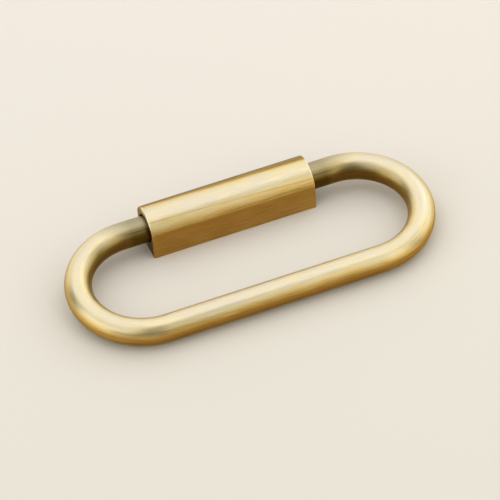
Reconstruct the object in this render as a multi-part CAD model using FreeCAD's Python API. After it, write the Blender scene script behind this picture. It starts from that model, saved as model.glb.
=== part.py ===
# Brass ring pull for a drawer or cabinet front, millimetres.
# A solid arched block is screwed to the front, and an oval ring of round rod hinges in it.
# Origin: centre of the block's flat back. +Z points out of the drawer front, +X runs along the
# block and its hinge axis, and the ring lies folded down towards -Y.
import FreeCAD, Part
import math
import os

# Rod of the ring
rod_diameter = 8.0
# across the oval, from rod centre to rod centre
ring_width = 38.0
# straight run of the oval, between the centres of its two half-round ends
ring_straight = 66.0
rod_end_chamfer = 0.4

# Sockets in the ends of the block, in which the ring's two ends turn
socket_clearance = 0.5
# the loose ring rests this far below the middle of its sockets
rod_drop = 0.25
socket_depth = 6.0
# free length left between a rod end and the bottom of its socket
end_play = 0.5
socket_mouth_chamfer = 0.2

# Mounting block, as the metal left round the sockets
block_length = 51.0
wall_behind_socket = 2.35
wall_over_socket = 2.05
wall_beside_socket = 1.8
# height of the arched top above the flat side walls
arch_rise = 4.25
# rounding where the arched top meets the side walls
shoulder_radius = 2.0
# rounding of the sawn end faces, and of the two long edges of the back
end_edge_radius = 0.4
back_edge_radius = 0.25

# Tapped holes in the flat back, for M4 screws
screw_diameter = 4.0
screw_pitch = 32.0
tap_drill_diameter = 3.3
tap_depth = 9.0
drill_point_angle = 118.0
# the mouth is opened a little wider than the screw, at 45 degrees
mouth_clearance = 0.2

# Sizes that follow from these
rod_radius = rod_diameter / 2
socket_radius = rod_radius + socket_clearance
socket_height = wall_behind_socket + socket_radius
axis_height = socket_height - rod_drop
block_width = 2 * (socket_radius + wall_beside_socket)
block_height = socket_height + socket_radius + wall_over_socket
arch_radius = ((block_width / 2) ** 2 + arch_rise ** 2) / (2 * arch_rise)
# the ring's front rod rests on the surface behind the back, so the ring leans a few degrees
ring_tilt = math.degrees(math.asin((axis_height - rod_radius) / ring_width))

X_AXIS = FreeCAD.Vector(1, 0, 0)
Z_AXIS = FreeCAD.Vector(0, 0, 1)
AT_ORIGIN = FreeCAD.Vector(0, 0, 0)
SIDES = (-1, 1)
# edges are told apart by where they lie, to within this length
NEARLY_ZERO = 1e-6


def block_section():
    """Face of the block's section in the plane X = 0: flat back, side walls, arched top."""
    half = block_width / 2
    arch_centre = block_height - arch_radius
    # the shoulder's circle touches the wall inside and the arch inside
    reach = arch_radius - shoulder_radius
    inset = half - shoulder_radius
    shoulder_z = arch_centre + math.sqrt(reach ** 2 - inset ** 2)
    lean = math.atan2(inset, shoulder_z - arch_centre)

    def on_shoulder(side, angle):
        y = side * (inset + shoulder_radius * math.sin(angle))
        return FreeCAD.Vector(0, y, shoulder_z + shoulder_radius * math.cos(angle))

    edges = [Part.makeLine(FreeCAD.Vector(0, -half, 0), FreeCAD.Vector(0, half, 0))]
    for side in SIDES:
        wall_top = on_shoulder(side, math.pi / 2)
        middle = on_shoulder(side, (math.pi / 2 + lean) / 2)
        arch_end = on_shoulder(side, lean)
        edges.append(Part.makeLine(FreeCAD.Vector(0, side * half, 0), wall_top))
        edges.append(Part.Arc(wall_top, middle, arch_end).toShape())
    crown = FreeCAD.Vector(0, 0, block_height)
    edges.append(Part.Arc(on_shoulder(-1, lean), crown, on_shoulder(1, lean)).toShape())
    return Part.Face(Part.Wire(Part.__sortEdges__(edges)))


def end_outline_edges(bar):
    """Edges round the two sawn end faces."""
    found = []
    for edge in bar.Edges:
        box = edge.BoundBox
        if box.XLength < NEARLY_ZERO and abs(abs(box.XMin) - block_length / 2) < NEARLY_ZERO:
            found.append(edge)
    return found


def long_back_edges(bar):
    """The two edges that run along the flat back."""
    found = []
    for edge in bar.Edges:
        box = edge.BoundBox
        if box.ZMax < NEARLY_ZERO and box.YLength < NEARLY_ZERO and box.XLength > block_length / 2:
            found.append(edge)
    return found


def socket(side):
    """Round socket bored into one end, with its deburred mouth."""
    mouth = FreeCAD.Vector(side * block_length / 2, 0, socket_height)
    inwards = X_AXIS * -side
    hole = Part.makeCylinder(socket_radius, socket_depth, mouth, inwards)
    wide = socket_radius + socket_mouth_chamfer
    deburr = Part.makeCone(wide, socket_radius, socket_mouth_chamfer, mouth, inwards)
    return hole.fuse(deburr)


def tapped_hole(side):
    """Tap-drill hole for one fixing screw, with its drill point and opened mouth."""
    foot = FreeCAD.Vector(side * screw_pitch / 2, 0, 0)
    drill_radius = tap_drill_diameter / 2
    hole = Part.makeCylinder(drill_radius, tap_depth, foot, Z_AXIS)
    point_height = drill_radius / math.tan(math.radians(drill_point_angle / 2))
    point = Part.makeCone(drill_radius, 0, point_height, foot + Z_AXIS * tap_depth, Z_AXIS)
    mouth_radius = (screw_diameter + mouth_clearance) / 2
    mouth_height = mouth_radius - drill_radius
    mouth = Part.makeCone(mouth_radius, drill_radius, mouth_height, foot, Z_AXIS)
    return hole.fuse([point, mouth])


def mounting_block():
    """Solid arched bar with a socket in each end and two tapped holes in its back."""
    section = block_section()
    section.translate(X_AXIS * (-block_length / 2))
    bar = section.extrude(X_AXIS * block_length)
    bar = bar.makeFillet(back_edge_radius, long_back_edges(bar))
    bar = bar.makeFillet(end_edge_radius, end_outline_edges(bar))
    holes = []
    for side in SIDES:
        holes.append(socket(side))
        holes.append(tapped_hole(side))
    return bar.cut(holes)


def ring_path():
    """Centre line of the rod, flat in the plane Z = 0, with the hinge axis along Y = 0."""
    run = ring_straight / 2
    bend = ring_width / 2
    rod_end = block_length / 2 - socket_depth + end_play

    def at(x, y):
        return FreeCAD.Vector(x, y, 0)

    edges = [
        Part.makeLine(at(-rod_end, 0), at(-run, 0)),
        Part.Arc(at(-run, 0), at(-run - bend, -bend), at(-run, -ring_width)).toShape(),
        Part.makeLine(at(-run, -ring_width), at(run, -ring_width)),
        Part.Arc(at(run, -ring_width), at(run + bend, -bend), at(run, 0)).toShape(),
        Part.makeLine(at(run, 0), at(rod_end, 0)),
    ]
    return Part.Wire(edges)


def rod_end_edges(rod):
    """The two round edges of the rod's sawn ends."""
    found = []
    for edge in rod.Edges:
        box = edge.BoundBox
        if box.XLength < NEARLY_ZERO and abs(box.XMin) < block_length / 2:
            found.append(edge)
    return found


def pull_ring():
    """One rod bent to an open oval, its two ends inside the block's sockets."""
    path = ring_path()
    start = path.Edges[0].Vertexes[0].Point
    circle = Part.Wire(Part.makeCircle(rod_radius, start, X_AXIS))
    rod = path.makePipeShell([circle], True, True)
    rod = rod.makeChamfer(rod_end_chamfer, rod_end_edges(rod))
    # leans forward from the hinge axis until the front rod is down
    rod.rotate(AT_ORIGIN, X_AXIS, ring_tilt)
    rod.translate(Z_AXIS * axis_height)
    return rod


def write_step(name, shape):
    """Writes one piece, after checking that it is one sound solid."""
    if shape.ShapeType == "Compound" and len(shape.Solids) == 1:
        shape = shape.Solids[0]
    if shape.ShapeType != "Solid" or not shape.isValid():
        raise ValueError(name + " is not one sound solid")
    shape.exportStep(os.path.join("parts", name + ".step"))
    print(name, "volume %.2f mm3" % shape.Volume)


os.makedirs("parts", exist_ok=True)
write_step("mounting_block", mounting_block())
write_step("pull_ring", pull_ring())
print("hinge axis height %.3f" % axis_height, "ring tilt %.3f degrees" % ring_tilt)
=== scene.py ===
# A satin brass ring pull, lying on its back on a pale studio floor, in metres.
# The order follows the pull as it is put together: the mounting block, the ring that turns in it,
# then the floor, the lamps and the camera of the photograph.
import bmesh
import bpy
import math
from mathutils import Matrix, Vector


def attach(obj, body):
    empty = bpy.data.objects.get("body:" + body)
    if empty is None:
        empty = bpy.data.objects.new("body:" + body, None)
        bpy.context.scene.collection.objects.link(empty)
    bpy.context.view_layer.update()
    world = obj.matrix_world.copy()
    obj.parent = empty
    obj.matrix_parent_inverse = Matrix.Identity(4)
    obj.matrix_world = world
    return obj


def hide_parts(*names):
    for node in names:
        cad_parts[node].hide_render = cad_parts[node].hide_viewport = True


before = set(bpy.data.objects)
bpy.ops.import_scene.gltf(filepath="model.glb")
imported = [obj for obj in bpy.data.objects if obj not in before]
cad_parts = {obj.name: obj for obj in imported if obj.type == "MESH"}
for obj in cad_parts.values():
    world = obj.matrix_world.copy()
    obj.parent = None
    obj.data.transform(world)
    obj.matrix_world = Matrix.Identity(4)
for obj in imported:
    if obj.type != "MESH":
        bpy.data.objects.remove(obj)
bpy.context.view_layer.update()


# Mounting block
# One length of solid brass bar with a flat back, two flat side walls and an arched front, sawn
# square at its ends and brushed lengthwise. Each end is bored for the ring, and two tapped holes
# in its back take the screws that hold it on the drawer front.
block_length = 0.051
block_width = 0.0126
block_height = 0.0134
arch_rise = 0.00425
shoulder_radius = 0.002
end_rounding = 0.0004
back_edge_rounding = 0.00025
socket_radius = 0.0045
socket_depth = 0.006
socket_height = 0.00685
socket_mouth_chamfer = 0.0002
screw_pitch = 0.032
tap_drill_radius = 0.00165
thread_outer_radius = 0.002
thread_pitch = 0.0007
thread_length = 0.008
# half the angle between the sides of a thread
thread_flank = math.radians(30)
tap_depth = 0.009
hole_mouth_radius = 0.0021
drill_point_half_angle = math.radians(59)
# how far a cutter stands out of the block's face
cutter_overlap = 0.0006
arch_facets = 56
shoulder_facets = 10
back_edge_facets = 4
end_facets = 5
socket_facets = 96
hole_facets = 32
facets_per_thread = 8
shading_crease = math.radians(32)


def arc_points(centre_y, centre_z, radius, start, end, facets):
    """Points of an arc in the block's section, its angles measured from +Y towards +Z."""
    points = []
    for step in range(facets + 1):
        angle = start + (end - start) * step / facets
        points.append((centre_y + radius * math.cos(angle), centre_z + radius * math.sin(angle)))
    return points


def block_outline(inset):
    """The block's section as a closed row of points, shrunk by inset on every side."""
    half = block_width / 2
    arch_radius = (half ** 2 + arch_rise ** 2) / (2 * arch_rise)
    arch_centre = block_height - arch_radius
    shoulder_y = half - shoulder_radius
    reach = arch_radius - shoulder_radius
    shoulder_z = arch_centre + math.sqrt(reach ** 2 - shoulder_y ** 2)
    arch_start = math.atan2(shoulder_z - arch_centre, shoulder_y)
    corner = max(back_edge_rounding - inset, 0)
    corner_y = half - inset - corner
    corner_z = inset + corner
    shoulder = shoulder_radius - inset
    right_angle = math.pi / 2
    outline = arc_points(corner_y, corner_z, corner, -right_angle, 0, back_edge_facets)
    outline += arc_points(shoulder_y, shoulder_z, shoulder, 0, arch_start, shoulder_facets)
    outline += arc_points(0, arch_centre, arch_radius - inset, arch_start,
                          math.pi - arch_start, arch_facets)[1:]
    outline += arc_points(-shoulder_y, shoulder_z, shoulder, math.pi - arch_start,
                          math.pi, shoulder_facets)[1:]
    outline += arc_points(-corner_y, corner_z, corner, math.pi,
                          math.pi + right_angle, back_edge_facets)
    return outline


def join_rings(mesh, rings):
    """Closes a skin over equal rings of points, with a flat cap at each end of the row."""
    rows = [[mesh.verts.new(point) for point in ring] for ring in rings]
    for near, far in zip(rows, rows[1:]):
        for here in range(len(near)):
            after = (here + 1) % len(near)
            mesh.faces.new((near[here], near[after], far[after], far[here]))
    mesh.faces.new(rows[0])
    mesh.faces.new(rows[-1])


def finished_mesh(name, working):
    """Turns a bmesh into a plain mesh, with its doubles merged and its faces outwards."""
    smallest_edge = 1e-7
    bmesh.ops.remove_doubles(working, verts=working.verts, dist=smallest_edge)
    bmesh.ops.dissolve_degenerate(working, edges=working.edges, dist=smallest_edge)
    bmesh.ops.recalc_face_normals(working, faces=working.faces)
    mesh = bpy.data.meshes.new(name)
    working.to_mesh(mesh)
    working.free()
    return mesh


def solid_bar():
    """The bar before it is bored: its outline carried round both rounded ends."""
    working = bmesh.new()
    stations = []
    for step in range(end_facets + 1):
        angle = math.pi / 2 * (1 - step / end_facets)
        inset = end_rounding * (1 - math.cos(angle))
        stations.append((block_length / 2 - end_rounding * (1 - math.sin(angle)), inset))
    rings = []
    for x, inset in stations:
        rings.append([(-x, y, z) for y, z in block_outline(inset)])
    for x, inset in reversed(stations):
        rings.append([(x, y, z) for y, z in block_outline(inset)])
    join_rings(working, rings)
    return finished_mesh("bar", working)


def socket_cutter(side):
    """A turned plug as wide as the socket, with the 45 degree mouth that deburrs it."""
    wide = socket_radius + socket_mouth_chamfer
    profile = [(socket_depth, socket_radius), (socket_mouth_chamfer, socket_radius),
               (0, wide), (-cutter_overlap, wide + cutter_overlap)]
    rings = []
    for depth, radius in profile:
        ring = []
        for step in range(socket_facets):
            angle = math.tau * step / socket_facets
            x = side * (block_length / 2 - depth)
            ring.append((x, radius * math.cos(angle), socket_height + radius * math.sin(angle)))
        rings.append(ring)
    working = bmesh.new()
    join_rings(working, rings)
    return finished_mesh("socket cutter", working)


def thread_radius(height, turn):
    """Radius of the tapped hole's wall at a height and a fraction of a turn round it."""
    thread_height = thread_outer_radius - tap_drill_radius
    groove = 1 - abs(2 * ((height / thread_pitch - turn) % 1) - 1)
    # the groove is narrower than the pitch, so its sides end before the next one
    steepness = thread_pitch / 2 / (thread_height * math.tan(thread_flank))
    depth = 1 - min((1 - groove) * steepness, 1)
    run_out = min(max((thread_length - height) / thread_pitch, 0), 1)
    threaded = tap_drill_radius + thread_height * depth * run_out
    return max(threaded, hole_mouth_radius - height)


def tapped_hole_cutter(side):
    """A tap's shape: helical thread, plain drilled end with its point, and opened mouth."""
    row_height = thread_pitch / facets_per_thread
    rows = math.ceil((tap_depth + cutter_overlap) / row_height)
    point_top = tap_depth + tap_drill_radius / math.tan(drill_point_half_angle)
    rings = []
    for row in range(rows + 1):
        height = tap_depth - (tap_depth + cutter_overlap) * row / rows
        ring = []
        for step in range(hole_facets):
            turn = step / hole_facets
            radius = thread_radius(height, turn)
            angle = math.tau * turn
            x = side * screw_pitch / 2 + radius * math.cos(angle)
            ring.append((x, radius * math.sin(angle), height))
        rings.append(ring)
    working = bmesh.new()
    join_rings(working, rings)
    # the drill's point rises from the middle of the plug's inner end
    drilled_end = max(working.faces, key=lambda face: face.calc_center_median().z)
    poked = bmesh.ops.poke(working, faces=[drilled_end])
    poked["verts"][0].co.z = point_top
    return finished_mesh("tapped hole cutter", working)


def placed(name, mesh):
    """Puts a mesh into the scene as an object at the origin."""
    thing = bpy.data.objects.new(name, mesh)
    bpy.context.scene.collection.objects.link(thing)
    return thing


def made_plain(thing):
    """Applies an object's modifiers and takes them off."""
    evaluated = thing.evaluated_get(bpy.context.evaluated_depsgraph_get())
    plain = bpy.data.meshes.new_from_object(evaluated)
    plain.name = thing.name
    thing.modifiers.clear()
    thing.data = plain


def bored_bar():
    """The finished block: the bar less its sockets and tapped holes."""
    bar = placed("mounting_block_brushed", solid_bar())
    cutters = []
    for side in (-1, 1):
        cutters.append(placed("cutter", socket_cutter(side)))
        cutters.append(placed("cutter", tapped_hole_cutter(side)))
    for cutter in cutters:
        cut = bar.modifiers.new("bore", "BOOLEAN")
        cut.operation = "DIFFERENCE"
        cut.solver = "EXACT"
        cut.object = cutter
    made_plain(bar)
    for cutter in cutters:
        bpy.data.objects.remove(cutter)
    shade_satin(bar)
    return bar


def shade_satin(thing):
    """Smooth shading that keeps flat faces flat and edges crisp."""
    thing.data.shade_smooth()
    thing.data.set_sharp_from_angle(angle=shading_crease)
    weighted = thing.modifiers.new("flat faces stay flat", "WEIGHTED_NORMAL")
    weighted.keep_sharp = True
    made_plain(thing)


# the colours of the brass, from brown in painted shade to pale in painted highlight
brass_brown = (0.372, 0.188, 0.036, 1)
brass_gold = (0.70, 0.475, 0.144, 1)
brass_pale = (0.74, 0.63, 0.365, 1)
brass_bright = (0.67, 0.59, 0.438, 1)
brown_lightness = 0.1
gold_lightness = 0.5
pale_lightness = 0.85
bright_lightness = 0.97
# brass keeps its colour at a glancing angle
brass_edge_tint = (0.95, 0.88, 0.70, 1)
brass_roughness = (0.32, 0.41)
brass_anisotropy = 0.3
# highlights spread across the hairlines, a quarter turn from them
quarter_turn = 0.25
# lengths are in metres, so a scale of 1000 gives features about a millimetre across
hairline_scale = (160, 3000, 3000)
streak_scale = (24, 620, 620)
mottle_scale = (60, 140, 140)
hairline_detail = 2
mottle_detail = 3
hairline_rub = 0.14
streak_rub = 0.03
mottle_rub = 0.08
# brass in brown painted shade shows the noises less than pale brass
brown_calm = 0.45
hairline_depth = 0.00002
# hand polishing leaves the surface faintly wavy
wave_depth = 0.00006
bump_strength = 0.5
# what brass in full painted shade keeps of its colour
painted_shade_tint = (0.22, 0.205, 0.14, 1)
# Blender's noise stays between these values for the most part
noise_low = 0.3
noise_high = 0.7


def new_material(name):
    """An empty node material, its Principled shader wired to the output."""
    material = bpy.data.materials.new(name)
    material.use_nodes = True
    nodes = material.node_tree.nodes
    return material, nodes, material.node_tree.links, nodes["Principled BSDF"]


def scaled_noise(nodes, links, coordinates, scale, detail):
    """Noise that is drawn out along X by a Mapping node."""
    mapping = nodes.new("ShaderNodeMapping")
    mapping.inputs["Scale"].default_value = scale
    links.new(coordinates, mapping.inputs["Vector"])
    noise = nodes.new("ShaderNodeTexNoise")
    noise.inputs["Scale"].default_value = 1
    noise.inputs["Detail"].default_value = detail
    links.new(mapping.outputs["Vector"], noise.inputs["Vector"])
    return noise.outputs["Fac"]


def ranged(nodes, links, value, low, high, to_low, to_high):
    """Maps a value from one range to another, held at the ends."""
    spread = nodes.new("ShaderNodeMapRange")
    spread.inputs["From Min"].default_value = low
    spread.inputs["From Max"].default_value = high
    spread.inputs["To Min"].default_value = to_low
    spread.inputs["To Max"].default_value = to_high
    links.new(value, spread.inputs["Value"])
    return spread.outputs["Result"]


def combined(nodes, links, first, second, operation="ADD"):
    """One Math node on two values."""
    step = nodes.new("ShaderNodeMath")
    step.operation = operation
    for socket, value in zip(step.inputs, (first, second)):
        if isinstance(value, (int, float)):
            socket.default_value = value
        else:
            links.new(value, socket)
    return step.outputs["Value"]


def unsigned(nodes, links, value):
    """A value without its sign."""
    return combined(nodes, links, value, 0, "ABSOLUTE")


def split_up(nodes, links, vector):
    """The X, Y and Z of a vector."""
    parts = nodes.new("ShaderNodeSeparateXYZ")
    links.new(vector, parts.inputs["Vector"])
    return parts.outputs


def bumped(nodes, links, height, depth, under=None):
    """Bump of a noise, over an earlier one."""
    bump = nodes.new("ShaderNodeBump")
    bump.inputs["Strength"].default_value = bump_strength
    bump.inputs["Distance"].default_value = depth
    links.new(height, bump.inputs["Height"])
    if under:
        links.new(under, bump.inputs["Normal"])
    return bump.outputs["Normal"]


def brushed_brass(name, coordinates_of, direction_of, painted_lightness_of, painted_shade_of):
    """Satin brass with hairlines along X of the given coordinates, toned by the given painted light
    and painted shade.
    """
    material, nodes, links, shader = new_material(name)
    coordinates = coordinates_of(nodes, links)
    hairlines = scaled_noise(nodes, links, coordinates, hairline_scale, hairline_detail)
    streaks = scaled_noise(nodes, links, coordinates, streak_scale, mottle_detail)
    mottle = scaled_noise(nodes, links, coordinates, mottle_scale, mottle_detail)
    painted_lightness = painted_lightness_of(nodes, links)
    liveliness = ranged(nodes, links, painted_lightness, brown_lightness, gold_lightness, brown_calm, 1)
    for noise, reach in ((hairlines, hairline_rub), (streaks, streak_rub), (mottle, mottle_rub)):
        change = ranged(nodes, links, noise, noise_low, noise_high, -reach, reach)
        painted_lightness = combined(nodes, links, painted_lightness, combined(nodes, links, change, liveliness, "MULTIPLY"))
    tone = nodes.new("ShaderNodeValToRGB")
    tone.color_ramp.elements[0].position = brown_lightness
    tone.color_ramp.elements[0].color = brass_brown
    tone.color_ramp.elements[1].position = bright_lightness
    tone.color_ramp.elements[1].color = brass_bright
    tone.color_ramp.elements.new(gold_lightness).color = brass_gold
    tone.color_ramp.elements.new(pale_lightness).color = brass_pale
    links.new(painted_lightness, tone.inputs["Fac"])
    # painted shade multiplies the colour down towards its tint
    shaded_colour = nodes.new("ShaderNodeMix")
    shaded_colour.data_type = "RGBA"
    shaded_colour.blend_type = "MULTIPLY"
    # below 0 the painted shade turns to painted highlight
    shaded_colour.clamp_factor = False
    shaded_colour.inputs["B"].default_value = painted_shade_tint
    links.new(painted_shade_of(nodes, links), shaded_colour.inputs["Factor"])
    links.new(tone.outputs["Color"], shaded_colour.inputs["A"])
    links.new(shaded_colour.outputs["Result"], shader.inputs["Base Color"])
    rough = ranged(nodes, links, hairlines, noise_low, noise_high, *brass_roughness)
    links.new(rough, shader.inputs["Roughness"])
    waves = bumped(nodes, links, mottle, wave_depth)
    brushed = bumped(nodes, links, hairlines, hairline_depth, waves)
    links.new(brushed, shader.inputs["Normal"])
    links.new(direction_of(nodes, links), shader.inputs["Tangent"])
    shader.inputs["Metallic"].default_value = 1
    shader.inputs["Specular Tint"].default_value = brass_edge_tint
    shader.inputs["Anisotropic"].default_value = brass_anisotropy
    shader.inputs["Anisotropic Rotation"].default_value = quarter_turn
    return material


# brushed along X; the rest gives the sawn ends a direction too, where X points straight out
block_brush_direction = (1, 0.03, 0.02)
# heights at which the painted shade brown of the walls ends and the arch begins, and where the
# arch's painted highlight is palest
wall_edge = (0.0084, 0.0090)
arch_rise_of_tone = (0.0088, 0.0131)
wall_lightness = 0.12
arch_step_lightness = 0.24
arch_lightness = 0.62
# painted light makes the foot of the walls a little lighter
wall_foot = (0.0005, 0.0050)
foot_lightness = 0.09
# painted shade keeps the back of the arch brown
crown = (-0.0020, 0.0008)
crown_darkening = -0.15
crown_shade = 0.09
back_of_arch = (0.0009, 0.0021)
back_darkening = -0.50
back_shade = 0.42
# the edges of the painted light and shade lean a little along the block
askew_y = 0.028
askew_z = 0.014
end_edge_wear_and_highlight = 0.06
end_edge_heights = (0.006, 0.009)
# distances from the block's middle at which its end edges are worn and carry a painted highlight,
# and its ends sawn
edge_wear_and_highlight_band = (block_length / 2 - 2 * end_rounding, block_length / 2 - end_rounding / 2)
edge_wear_and_highlight_rim = (block_length / 2 - end_rounding, block_length / 2 - end_rounding / 2)
sawn_face = (block_length / 2 - end_rounding / 20, block_length / 2 - end_rounding / 100)
# a painted reflection, a fine dark line, runs along the arch
block_reflected_line_y = -0.0046
fine_line_width = (0.00006, 0.00022)
block_reflected_line_darkening = -0.25
# painted shade on the sawn end faces, darker towards the back, and in the bored sockets
end_face_heights = (0.002, 0.009)
end_face_shade = (0.92, 0.62)
# the edge of the arch at both ends is worn by handling and lit with a painted highlight
edge_wear_and_highlight = 0.5
# distances from the socket's axis at which the painted shade of its mouth ends
bore_edge = (0.0046, 0.00475)


def block_coordinates(nodes, links):
    """The place of a point in the block's own frame."""
    return nodes.new("ShaderNodeTexCoord").outputs["Object"]


def block_direction(nodes, links):
    """The way in which the block is brushed."""
    direction = nodes.new("ShaderNodeCombineXYZ")
    for socket, value in zip(direction.inputs, block_brush_direction):
        socket.default_value = value
    return direction.outputs["Vector"]


def leaning(nodes, links, place, along, lean):
    """A coordinate that drifts along the block."""
    return combined(nodes, links, place, combined(nodes, links, along, lean, "MULTIPLY"))


def block_painted_lightness(nodes, links):
    """Painted shade, brown, down the side walls and at the back of the arch; painted light, pale,
    over the arch; wear and a painted highlight along its end edges; a painted reflection line along
    the arch.
    """
    along, across, height = split_up(nodes, links, block_coordinates(nodes, links))
    askew_height = leaning(nodes, links, height, along, askew_z)
    askew_depth = leaning(nodes, links, across, along, askew_y)
    painted_lightness = ranged(nodes, links, height, *arch_rise_of_tone, wall_lightness, wall_lightness + arch_lightness)
    from_line = unsigned(nodes, links, combined(nodes, links, askew_depth, block_reflected_line_y, "SUBTRACT"))
    for place, reach, lightness_change in ((askew_height, wall_edge, (0, arch_step_lightness)),
                                     (height, wall_foot, (foot_lightness, 0)),
                                     (askew_depth, crown, (0, crown_darkening)),
                                     (askew_depth, back_of_arch, (0, back_darkening)),
                                     (from_line, fine_line_width, (block_reflected_line_darkening, 0))):
        painted_lightness = combined(nodes, links, painted_lightness, ranged(nodes, links, place, *reach, *lightness_change))
    painted_lightness = combined(nodes, links, painted_lightness, brown_lightness, "MAXIMUM")
    at_end = ranged(nodes, links, unsigned(nodes, links, along), *edge_wear_and_highlight_band, 0, end_edge_wear_and_highlight)
    on_arch = ranged(nodes, links, height, *end_edge_heights, 0, 1)
    return combined(nodes, links, painted_lightness, combined(nodes, links, at_end, on_arch, "MULTIPLY"))


def block_painted_shade(nodes, links):
    """Painted shade on the sawn ends, in the sockets and at the back of the arch; wear and a painted
    highlight on the end edges of the arch.
    """
    along, across, height = split_up(nodes, links, block_coordinates(nodes, links))
    from_middle = unsigned(nodes, links, along)
    on_end = ranged(nodes, links, from_middle, *sawn_face, 0, 1)
    by_height = ranged(nodes, links, height, *end_face_heights, *end_face_shade)
    sawn_end_shade = combined(nodes, links, on_end, by_height, "MULTIPLY")
    over_axis = combined(nodes, links, height, socket_height, "SUBTRACT")
    from_axis = combined(nodes, links, combined(nodes, links, across, across, "MULTIPLY"),
                         combined(nodes, links, over_axis, over_axis, "MULTIPLY"))
    from_axis = combined(nodes, links, from_axis, 0, "SQRT")
    socket_shade = ranged(nodes, links, from_axis, *bore_edge, 1, 0)
    askew_depth = leaning(nodes, links, across, along, askew_y)
    at_back = combined(nodes, links, ranged(nodes, links, askew_depth, *crown, 0, crown_shade),
                       ranged(nodes, links, askew_depth, *back_of_arch, 0, back_shade))
    painted_shade = combined(nodes, links, combined(nodes, links, sawn_end_shade, socket_shade, "MAXIMUM"), at_back, "MAXIMUM")
    wear_and_highlight = ranged(nodes, links, from_middle, *edge_wear_and_highlight_rim, 0, 1)
    for share in (ranged(nodes, links, on_end, 0, 1, edge_wear_and_highlight, 0),
                  ranged(nodes, links, height, *end_edge_heights, 0, 1)):
        wear_and_highlight = combined(nodes, links, wear_and_highlight, share, "MULTIPLY")
    return combined(nodes, links, painted_shade, wear_and_highlight, "SUBTRACT")


mounting_block = bored_bar()
mounting_block.data.materials.clear()
mounting_block.data.materials.append(
    brushed_brass("brushed brass of the block", block_coordinates, block_direction,
                  block_painted_lightness, block_painted_shade))
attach(mounting_block, "block")
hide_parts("mounting_block")


# Pull ring
# One brass rod, 8 mm thick, bent to a long oval with half-round ends. Its two sawn ends turn in
# the block's sockets, and it lies folded down, so that its front rod rests on the floor.
rod_radius = 0.004
ring_width = 0.038
ring_straight = 0.066
rod_end = 0.020
rod_end_chamfer = 0.0004
hinge_height = 0.0066
rod_facets = 72
bend_facets = 40
# handle length that makes a Bezier quarter circle, as a share of its radius
quarter_circle_handle = 0.5522847
rod_length = 2 * (ring_straight / 2 - rod_end) + ring_straight + math.pi * ring_width
# only edges sharper than this are sawn ones
sawn_edge_angle = math.radians(60)


def ring_route():
    """The rod's centre line, flat, as a Bezier curve from one end round the front to the other."""
    bend = ring_width / 2
    run = ring_straight / 2
    reach = bend * quarter_circle_handle
    corners = [
        ((-rod_end, 0), (0, 0), (0, 0)),
        ((-run, 0), (0, 0), (-reach, 0)),
        ((-run - bend, -bend), (0, reach), (0, -reach)),
        ((-run, -ring_width), (-reach, 0), (0, 0)),
        ((run, -ring_width), (0, 0), (reach, 0)),
        ((run + bend, -bend), (0, -reach), (0, reach)),
        ((run, 0), (reach, 0), (0, 0)),
        ((rod_end, 0), (0, 0), (0, 0)),
    ]
    curve = bpy.data.curves.new("ring route", "CURVE")
    curve.dimensions = "3D"
    curve.resolution_u = bend_facets
    spline = curve.splines.new("BEZIER")
    spline.bezier_points.add(len(corners) - 1)
    for knot, (place, before, after) in zip(spline.bezier_points, corners):
        here = Vector((*place, 0))
        knot.handle_left_type = "FREE"
        knot.handle_right_type = "FREE"
        knot.co = here
        knot.handle_left = here + Vector((*before, 0))
        knot.handle_right = here + Vector((*after, 0))
    # a straight run's inner handles lie a third of the way along it
    third = 1 / 3
    points = spline.bezier_points
    for first, second in zip(points, points[1:]):
        if first.handle_right == first.co and second.handle_left == second.co:
            first.handle_right = first.co.lerp(second.co, third)
            second.handle_left = second.co.lerp(first.co, third)
    return curve


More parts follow.
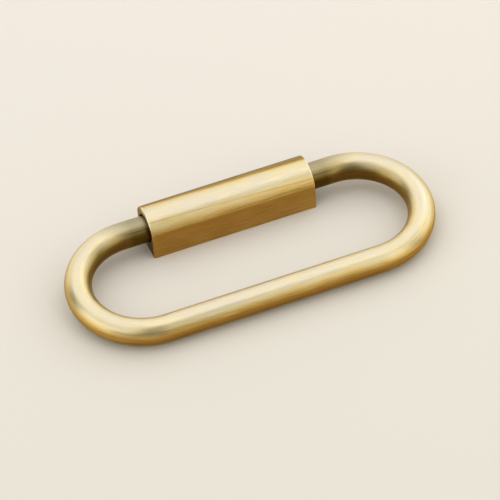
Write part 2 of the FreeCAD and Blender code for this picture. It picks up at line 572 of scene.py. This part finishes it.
def bent_rod_tree():
    """Geometry Nodes that sweep a round rod along a curve and note where each point lies on it."""
    tree = bpy.data.node_groups.new("bent rod", "GeometryNodeTree")
    face = tree.interface
    face.new_socket("Route", in_out="INPUT", socket_type="NodeSocketGeometry")
    face.new_socket("Rod Radius", in_out="INPUT", socket_type="NodeSocketFloat")
    face.new_socket("Facets", in_out="INPUT", socket_type="NodeSocketInt")
    face.new_socket("Material", in_out="INPUT", socket_type="NodeSocketMaterial")
    face.new_socket("Rod", in_out="OUTPUT", socket_type="NodeSocketGeometry")
    nodes = tree.nodes
    links = tree.links
    given = nodes.new("NodeGroupInput")
    result = nodes.new("NodeGroupOutput")

    def noted(geometry, name, value, kind):
        store = nodes.new("GeometryNodeStoreNamedAttribute")
        store.data_type = kind
        store.domain = "POINT"
        store.inputs["Name"].default_value = name
        links.new(geometry, store.inputs["Geometry"])
        links.new(value, store.inputs["Value"])
        return store.outputs["Geometry"]

    along = nodes.new("GeometryNodeSplineParameter")
    tangent = nodes.new("GeometryNodeInputTangent")
    route = noted(given.outputs["Route"], "length_along", along.outputs["Length"], "FLOAT")
    route = noted(route, "brush_direction", tangent.outputs["Tangent"], "FLOAT_VECTOR")
    circle = nodes.new("GeometryNodeCurvePrimitiveCircle")
    links.new(given.outputs["Facets"], circle.inputs["Resolution"])
    links.new(given.outputs["Rod Radius"], circle.inputs["Radius"])
    round_section = nodes.new("GeometryNodeSplineParameter")
    profile = noted(circle.outputs["Curve"], "turn_round", round_section.outputs["Factor"], "FLOAT")
    sweep = nodes.new("GeometryNodeCurveToMesh")
    sweep.inputs["Fill Caps"].default_value = True
    links.new(route, sweep.inputs["Curve"])
    links.new(profile, sweep.inputs["Profile Curve"])

    def read(name):
        reader = nodes.new("GeometryNodeInputNamedAttribute")
        reader.data_type = "FLOAT"
        reader.inputs["Name"].default_value = name
        return reader.outputs["Attribute"]

    angle = combined(nodes, links, read("turn_round"), math.tau, "MULTIPLY")
    straight = nodes.new("ShaderNodeCombineXYZ")
    links.new(read("length_along"), straight.inputs["X"])
    for axis, share in (("Y", "COSINE"), ("Z", "SINE")):
        part = combined(nodes, links, angle, 0, share)
        part = combined(nodes, links, part, given.outputs["Rod Radius"], "MULTIPLY")
        links.new(part, straight.inputs[axis])
    rod = noted(sweep.outputs["Mesh"], "straight_rod", straight.outputs["Vector"], "FLOAT_VECTOR")
    realized = nodes.new("GeometryNodeRealizeInstances")
    links.new(rod, realized.inputs["Geometry"])
    painted = nodes.new("GeometryNodeSetMaterial")
    links.new(realized.outputs["Geometry"], painted.inputs["Geometry"])
    links.new(given.outputs["Material"], painted.inputs["Material"])
    links.new(painted.outputs["Geometry"], result.inputs["Rod"])
    return tree


def ring_coordinates(nodes, links):
    """The place of a point on the unbent rod: its length along X, Y outwards, Z downwards."""
    place = nodes.new("ShaderNodeAttribute")
    place.attribute_name = "straight_rod"
    return place.outputs["Vector"]


def ring_direction(nodes, links):
    """The rod's own direction, turned with the ring when the ring is lifted."""
    direction = nodes.new("ShaderNodeAttribute")
    direction.attribute_name = "brush_direction"
    turned = nodes.new("ShaderNodeVectorTransform")
    turned.vector_type = "VECTOR"
    turned.convert_from = "OBJECT"
    turned.convert_to = "WORLD"
    links.new(direction.outputs["Vector"], turned.inputs["Vector"])
    return turned.outputs["Vector"]


# lengths here are counted along the rod from its nearer end, and the rest from its centre line
# it is painted palest, a painted highlight, on its two flat sides, with painted shade browner round
# its rims and a little less pale round the inside of the oval
brown_rim = 0.2 * rod_radius
pale_side = rod_radius
inside_reach = -0.6 * rod_radius
inside_lightness = 0.75
# painted light makes the outside of each bend paler than the straight front
bend_lightening = 0.14
bend_lightening_begins = (0.024, 0.034)
bend_lightening_ends = (0.056, 0.074)
outer_rim = (0.4 * rod_radius, 0.7 * rod_radius)
# painted shade darkens it as it comes out of the block, most of all on the inside of the oval
stub_fade = (0.010, 0.020)
stub_shade = (0.62, 1)
inner_rim = (-0.9 * rod_radius, -0.3 * rod_radius)
# the painted shade goes on round the inside of the bend
bend_shade = 0.80
bend_fade = (0.027, 0.056)
# painted shade darkens the underside of the rod
underside = 0.6 * rod_radius
underside_shade = 0.5
# a painted reflection, a fine dark line, runs along each straight end, on the side of the finger gap
ring_reflected_line_inwards = 0.67 * rod_radius
ring_reflected_line_shade = 0.25
upper_side = (-0.1 * rod_radius, 0)


def length_from_end(nodes, links, length):
    """Length of rod from the nearer end; the far end's is counted back from the whole rod."""
    from_middle = unsigned(nodes, links, combined(nodes, links, length, rod_length / 2, "SUBTRACT"))
    return combined(nodes, links, rod_length / 2, from_middle, "SUBTRACT")


def ring_painted_lightness(nodes, links):
    """Painted highlight, pale, on the two flat sides of the oval, and painted shade, browner, round
    its outer and inner rims.
    """
    length, outwards, below = split_up(nodes, links, ring_coordinates(nodes, links))
    from_rim = unsigned(nodes, links, below)
    painted_lightness = ranged(nodes, links, from_rim, brown_rim, pale_side, brown_lightness, bright_lightness)
    from_end = length_from_end(nodes, links, length)
    lightened = ranged(nodes, links, from_end, *bend_lightening_begins, 0, bend_lightening)
    for share in (ranged(nodes, links, from_end, *bend_lightening_ends, 1, 0),
                  ranged(nodes, links, outwards, *outer_rim, 0, 1)):
        lightened = combined(nodes, links, lightened, share, "MULTIPLY")
    inside = ranged(nodes, links, outwards, inside_reach, 0, inside_lightness, bright_lightness)
    return combined(nodes, links, combined(nodes, links, painted_lightness, lightened), inside, "MINIMUM")


def ring_painted_shade(nodes, links):
    """Painted shade where the rod comes out of the block, round the inside of its bends and
    underneath, with a painted reflection line along each straight end.
    """
    length, outwards, below = split_up(nodes, links, ring_coordinates(nodes, links))
    from_end = length_from_end(nodes, links, length)
    near_block = ranged(nodes, links, from_end, *stub_fade, 1, 0)
    inwards = ranged(nodes, links, outwards, *inner_rim, 1, 0)
    stub = ranged(nodes, links, inwards, 0, 1, *stub_shade)
    stub = combined(nodes, links, stub, near_block, "MULTIPLY")
    round_bend = ranged(nodes, links, from_end, *bend_fade, bend_shade, 0)
    rim = combined(nodes, links, inwards, round_bend, "MULTIPLY")
    under = ranged(nodes, links, below, 0, underside, 0, underside_shade)
    painted_shade = combined(nodes, links, combined(nodes, links, stub, rim, "MAXIMUM"), under, "MAXIMUM")
    from_line = unsigned(nodes, links, combined(nodes, links, outwards, ring_reflected_line_inwards))
    line = ranged(nodes, links, from_line, *fine_line_width, ring_reflected_line_shade, 0)
    for share in (ranged(nodes, links, below, *upper_side, 1, 0), near_block):
        line = combined(nodes, links, line, share, "MULTIPLY")
    return combined(nodes, links, combined(nodes, links, painted_shade, line), 1, "MINIMUM")


def bent_ring():
    """The swept rod with chamfered ends, leaning forward until its front rod is down."""
    route = placed("ring route", ring_route())
    tree = bent_rod_tree()
    inputs = {item.name: item.identifier for item in tree.interface.items_tree
              if item.in_out == "INPUT"}
    sweep = route.modifiers.new("bent rod", "NODES")
    sweep.node_group = tree
    sweep[inputs["Rod Radius"]] = rod_radius
    sweep[inputs["Facets"]] = rod_facets
    sweep[inputs["Material"]] = brushed_brass(
        "brushed brass of the ring", ring_coordinates, ring_direction, ring_painted_lightness, ring_painted_shade)
    evaluated = route.evaluated_get(bpy.context.evaluated_depsgraph_get())
    ring = placed("pull_ring_brushed", bpy.data.meshes.new_from_object(evaluated))
    bpy.data.objects.remove(route)
    chamfer = ring.modifiers.new("sawn end", "BEVEL")
    chamfer.width = rod_end_chamfer
    chamfer.segments = 1
    chamfer.limit_method = "ANGLE"
    chamfer.angle_limit = sawn_edge_angle
    made_plain(ring)
    lean = math.asin((hinge_height - rod_radius) / ring_width)
    place = Matrix.Translation((0, 0, hinge_height)) @ Matrix.Rotation(lean, 4, "X")
    ring.data.transform(place)
    turn = place.to_3x3()
    for item in ring.data.attributes["brush_direction"].data:
        item.vector = turn @ item.vector
    shade_satin(ring)
    return ring


pull_ring = bent_ring()
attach(pull_ring, "ring")
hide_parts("pull_ring")


# Floor
# A sheet of smooth cream paper, laid flat on a table. The pull lies on its back on it, with its
# front rod touching the paper.
floor_size = 6.0
floor_gap = 0.00005
floor_near = (0.766, 0.723, 0.625, 1)
floor_far = (0.784, 0.729, 0.646, 1)
# from front to back, where the one colour turns to the other
floor_fade = (-0.08, 0.08)
paper_roughness = 0.9
paper_gloss = 0.1


def paper_material():
    """Cream paper, a little lighter away from the camera."""
    material, nodes, links, shader = new_material("cream paper")
    coordinates = nodes.new("ShaderNodeTexCoord").outputs["Object"]
    backwards = split_up(nodes, links, coordinates)["Y"]
    far = ranged(nodes, links, backwards, *floor_fade, 0, 1)
    tone = nodes.new("ShaderNodeValToRGB")
    tone.color_ramp.elements[0].color = floor_near
    tone.color_ramp.elements[1].color = floor_far
    links.new(far, tone.inputs["Fac"])
    links.new(tone.outputs["Color"], shader.inputs["Base Color"])
    shader.inputs["Roughness"].default_value = paper_roughness
    shader.inputs["Specular IOR Level"].default_value = paper_gloss
    return material


def flat_sheet():
    """The sheet as one square, just under the pull."""
    working = bmesh.new()
    half = floor_size / 2
    corners = ((-half, -half), (half, -half), (half, half), (-half, half))
    working.faces.new([working.verts.new((x, y, -floor_gap)) for x, y in corners])
    mesh = bpy.data.meshes.new("floor")
    working.to_mesh(mesh)
    working.free()
    return mesh


floor = placed("floor", flat_sheet())
floor.data.materials.append(paper_material())


# Lamps
# A wide softbox overhead, a low strip behind the pull, one softbox at each side, three smaller
# ones in front, and a dim plain studio round them. Together they light the floor at a level at
# which its colour renders about as it is written.
softboxes = {
    # name: azimuth from +X towards +Y and elevation in degrees, distance, width, height, radiance
    "overhead softbox": (82, 65.5, 0.70, 1.19, 1.10, 1.17),
    "right softbox": (9, 23.3, 0.70, 0.82, 0.61, 1.15),
    "left softbox": (184, 23.0, 0.70, 0.64, 0.62, 1.20),
    "front right softbox": (303, 25.7, 0.70, 0.50, 0.70, 1.12),
    "back strip": (88, 11.0, 0.70, 1.40, 0.29, 1.16),
    "top right softbox": (310, 62.3, 0.90, 0.30, 0.61, 0.66),
    "front left softbox": (225, 45.0, 0.85, 0.38, 0.80, 0.90),
}
studio_colour = (0.19, 0.19, 0.19, 1)


def softbox(name, azimuth, elevation, distance, width, height, radiance):
    """A rectangular lamp that faces the pull; its power follows from its size and radiance."""
    lamp = bpy.data.lights.new(name, "AREA")
    lamp.shape = "RECTANGLE"
    lamp.size = width
    lamp.size_y = height
    lamp.energy = radiance * width * height * math.pi
    thing = bpy.data.objects.new(name, lamp)
    bpy.context.scene.collection.objects.link(thing)
    level = math.cos(math.radians(elevation))
    outwards = Vector((level * math.cos(math.radians(azimuth)),
                       level * math.sin(math.radians(azimuth)),
                       math.sin(math.radians(elevation))))
    thing.location = outwards * distance
    thing.rotation_euler = outwards.to_track_quat("Z", "Y").to_euler()


for name, measures in softboxes.items():
    softbox(name, *measures)

studio = bpy.data.worlds.new("studio")
studio.use_nodes = True
bpy.context.scene.world = studio
studio.node_tree.nodes["Background"].inputs["Color"].default_value = studio_colour


# Camera
# A long lens at the photograph's viewing angle, found by fitting the pull's outline to it.
camera_lens = 288
camera_azimuth = math.radians(-18.29)
camera_elevation = math.radians(44.36)
camera_roll = math.radians(-4.79)
camera_distance = 1.1619
camera_target = Vector((0.00108, -0.01470, 0))
film_width = 36
nearest_shown = 0.01
farthest_shown = 20

photo_camera = bpy.data.cameras.new("photo camera")
photo_camera.lens = camera_lens
photo_camera.sensor_width = film_width
photo_camera.clip_start = nearest_shown
photo_camera.clip_end = farthest_shown
camera = bpy.data.objects.new("photo camera", photo_camera)
bpy.context.scene.collection.objects.link(camera)
forward = Vector((-math.sin(camera_azimuth) * math.cos(camera_elevation),
                  math.cos(camera_azimuth) * math.cos(camera_elevation),
                  -math.sin(camera_elevation)))
level_right = Vector((math.cos(camera_azimuth), math.sin(camera_azimuth), 0))
level_up = level_right.cross(forward)
right = level_right * math.cos(camera_roll) + level_up * math.sin(camera_roll)
up = level_up * math.cos(camera_roll) - level_right * math.sin(camera_roll)
turn = Matrix((right, up, -forward)).transposed()
camera.matrix_world = Matrix.Translation(camera_target - forward * camera_distance) @ turn.to_4x4()
bpy.context.scene.camera = camera
bpy.context.scene.view_settings.view_transform = "Standard"
